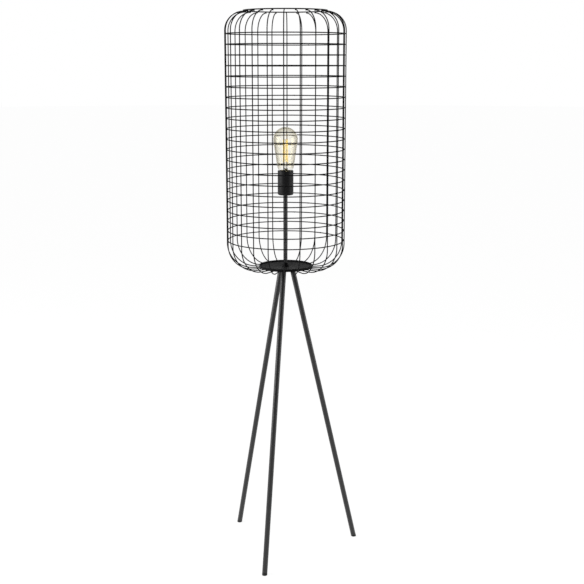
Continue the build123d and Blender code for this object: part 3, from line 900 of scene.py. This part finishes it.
filament_gold = bpy.data.materials.new("filament_gold")
filament_gold.use_nodes = True
tree = filament_gold.node_tree
shader = tree.nodes["Principled BSDF"]
shader.inputs["Roughness"].default_value = 0.4
shader.inputs["Emission Strength"].default_value = 0.7
place = tree.nodes.new("ShaderNodeTexCoord")
warmth = tree.nodes.new("ShaderNodeTexNoise")
warmth.inputs["Scale"].default_value = 120
glow = tree.nodes.new("ShaderNodeValToRGB")
glow.color_ramp.elements[0].color = (0.8, 0.58, 0.08, 1)
glow.color_ramp.elements[1].color = (1, 0.82, 0.2, 1)
tree.links.new(place.outputs["Object"], warmth.inputs["Vector"])
tree.links.new(warmth.outputs["Fac"], glow.inputs["Fac"])
tree.links.new(glow.outputs["Color"], shader.inputs["Base Color"])
tree.links.new(glow.outputs["Color"], shader.inputs["Emission Color"])
settle(filament, "filament_coil", filament_gold, "filament", "bulb", "bulb_filament")

# Filament hooks and leads. Fine hooks set in the rod end in a loop round each bend of the filament, and two
# stiffer leads come up from the pinch to its ends.
hook_radius = 0.0002
lead_radius = 0.0003
loop_radius = 0.0007
lead_spread = 0.0032
lead_sunk = 0.001
support_metal = plated("support_wire", (0.5, 0.46, 0.4), 0.35, 900)


def straight_wire(start, finish, radius):
    """A straight round wire between two points."""
    run = finish - start
    bpy.ops.mesh.primitive_cylinder_add(
        vertices=8, radius=radius, depth=run.length, location=(start + finish) / 2,
        rotation=run.to_track_quat("Z", "Y").to_euler())
    return bpy.context.object


wires = []
for number, (bend, turn) in enumerate(bends):
    across = Vector((math.cos(turn), math.sin(turn), 0))
    bpy.ops.mesh.primitive_torus_add(
        major_segments=14, minor_segments=6, major_radius=loop_radius, minor_radius=hook_radius,
        location=bend, rotation=(math.pi / 2, 0, turn), generate_uvs=False)
    wires.append(bpy.context.object)
    if 0 < number < filament_runs:
        wires.append(straight_wire(
            bend - across * (filament_spread - rod_radius / 2), bend - across * loop_radius, hook_radius))
    else:
        wires.append(straight_wire(
            about(pinch_top - lead_sunk, lead_spread * across.x, lead_spread * across.y),
            bend - Vector((0, 0, loop_radius)), lead_radius))
for wire in wires:
    wire.select_set(True)
bpy.ops.object.join()
settle(bpy.context.object, "filament_hooks", support_metal, "support_wire", "bulb", "bulb_supports")

# Studio. A white floor under a white sky that darkens towards the camera's side, with a large soft lamp to the
# left and a weaker one to the right. The camera stands at head height, a little to the lamp's right.
camera_turn = math.radians(16.56)
camera_distance = 2.8124
camera_height = 1.340
camera_tilt = math.radians(12.265)
camera_yaw = math.radians(0.345)
picture_side = 584
focal_pixels = 1069
floor_radius = 30
floor_drop = 0.0002
floor_grey = 0.75
seen_grey = 0.22
seen_glow = 0.89
sky_near = 0.12
sky_far_from = 0.4
sky_fill = 0.6
lamp_distance = 3
lamp_aim_height = 0.8
bpy.ops.mesh.primitive_circle_add(
    vertices=96, radius=floor_radius, fill_type="NGON", location=(0, 0, -floor_drop))
floor = bpy.context.object
floor.name = "floor"


def rays_of(tree, *kinds):
    """A value of 1 for rays of any of these kinds."""
    path = tree.nodes.new("ShaderNodeLightPath")
    found = path.outputs[kinds[0]]
    for kind in kinds[1:]:
        either = tree.nodes.new("ShaderNodeMath")
        either.operation = "MAXIMUM"
        tree.links.new(found, either.inputs[0])
        tree.links.new(path.outputs[kind], either.inputs[1])
        found = either.outputs[0]
    return found


floor_white = bpy.data.materials.new("floor_white")
floor_white.use_nodes = True
tree = floor_white.node_tree
shader = tree.nodes["Principled BSDF"]
shader.inputs["Roughness"].default_value = 0.9
shader.inputs["Specular IOR Level"].default_value = 0
shader.inputs["Emission Color"].default_value = (1, 1, 1, 1)
seen = rays_of(tree, "Is Camera Ray", "Is Glossy Ray", "Is Transmission Ray")
grey = tree.nodes.new("ShaderNodeMix")
grey.data_type = "RGBA"
grey.inputs["A"].default_value = (floor_grey, floor_grey, floor_grey, 1)
grey.inputs["B"].default_value = (seen_grey, seen_grey, seen_grey, 1)
lift = tree.nodes.new("ShaderNodeMath")
lift.operation = "MULTIPLY"
lift.inputs[1].default_value = seen_glow
tree.links.new(seen, grey.inputs["Factor"])
tree.links.new(grey.outputs["Result"], shader.inputs["Base Color"])
tree.links.new(seen, lift.inputs[0])
tree.links.new(lift.outputs[0], shader.inputs["Emission Strength"])
floor.data.materials.append(floor_white)

sky = bpy.data.worlds.new("sky")
bpy.context.scene.world = sky
sky.use_nodes = True
tree = sky.node_tree
light = tree.nodes["Background"]
light.inputs["Color"].default_value = (1, 1, 1, 1)
place = tree.nodes.new("ShaderNodeTexCoord")
away = tree.nodes.new("ShaderNodeVectorMath")
away.operation = "DOT_PRODUCT"
away.inputs[1].default_value = (-math.sin(camera_turn), math.cos(camera_turn), 0)
fall = tree.nodes.new("ShaderNodeMapRange")
fall.inputs["From Min"].default_value = -1
fall.inputs["From Max"].default_value = sky_far_from
fall.inputs["To Min"].default_value = sky_near
mirrored = tree.nodes.new("ShaderNodeMapRange")
mirrored.inputs["To Min"].default_value = sky_fill
around = tree.nodes.new("ShaderNodeMath")
around.operation = "MULTIPLY"
strength = tree.nodes.new("ShaderNodeMapRange")
tree.links.new(place.outputs["Generated"], away.inputs[0])
tree.links.new(away.outputs["Value"], fall.inputs["Value"])
tree.links.new(rays_of(tree, "Is Glossy Ray"), mirrored.inputs["Value"])
tree.links.new(fall.outputs["Result"], around.inputs[0])
tree.links.new(mirrored.outputs["Result"], around.inputs[1])
tree.links.new(rays_of(tree, "Is Camera Ray", "Is Transmission Ray"), strength.inputs["Value"])
tree.links.new(around.outputs[0], strength.inputs["To Min"])
tree.links.new(strength.outputs["Result"], light.inputs["Strength"])


def soft_lamp(name, turn, height, watts, side):
    """A square soft box at that turn from the camera, aimed at the middle of the object."""
    bpy.ops.object.light_add(type="AREA")
    box = bpy.context.object
    box.name = name
    box.data.size = side
    box.data.energy = watts
    away = camera_turn + turn
    box.location = stem_axis + Vector((
        lamp_distance * math.sin(away), -lamp_distance * math.cos(away), height))
    aim = stem_axis + Vector((0, 0, lamp_aim_height)) - box.location
    box.rotation_euler = aim.to_track_quat("-Z", "Y").to_euler()


soft_lamp("left_softbox", math.radians(-75), 1.3, 60, 2)
soft_lamp("right_softbox", math.radians(80), 1, 18, 1.4)

bpy.ops.object.camera_add()
camera = bpy.context.object
camera.data.sensor_width = 36
camera.data.lens = camera.data.sensor_width * focal_pixels / picture_side
camera.location = stem_axis + Vector((
    camera_distance * math.sin(camera_turn), -camera_distance * math.cos(camera_turn), camera_height))
camera.rotation_euler = (math.pi / 2 - camera_tilt, 0, camera_turn - camera_yaw)
bpy.context.scene.camera = camera
bpy.context.scene.view_settings.view_transform = "Standard"
